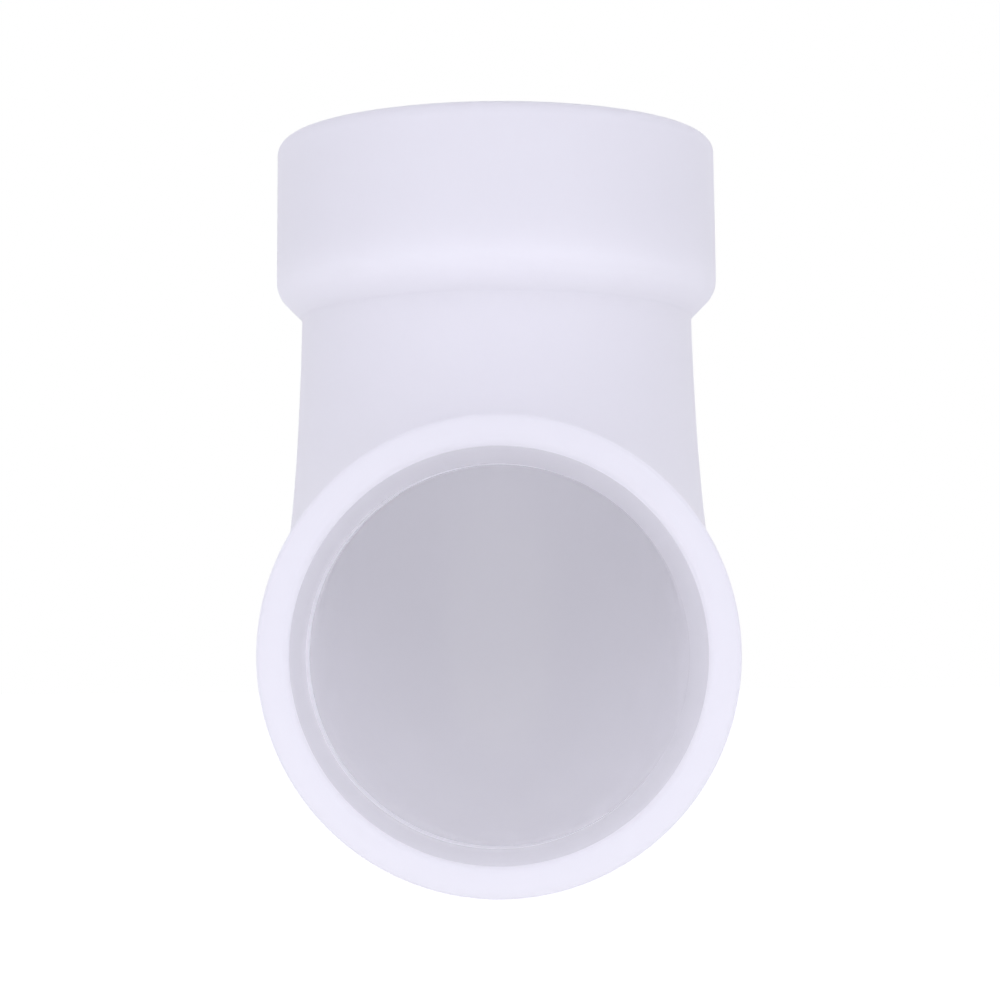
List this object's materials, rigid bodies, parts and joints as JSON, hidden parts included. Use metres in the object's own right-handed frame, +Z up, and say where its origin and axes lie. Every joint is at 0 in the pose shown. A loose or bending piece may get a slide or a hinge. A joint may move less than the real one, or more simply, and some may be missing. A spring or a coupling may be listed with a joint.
{
  "type": "street elbow",
  "caption": "Quarter-bend street elbow for drain pipe: a plain spigot at one end, a socket in a banded hub at the other, moulded in one piece of white plastic.",
  "frame": {"origin": "centre of the spigot's end face, on the spigot's axis", "axes": "+Z up along the hub's axis, out of the hub's mouth; the spigot's axis is Y and its open end faces -Y; x = 0 is the mirror plane"},
  "size_m": [0.0682, 0.1119, 0.1097],
  "materials": {
    "white_plastic": "semi-gloss rigid white plastic, faintly lavender, as moulded"
  },
  "bodies": {
    "root": {"elbow_body": "white_plastic"}
  },
  "joints": []
}
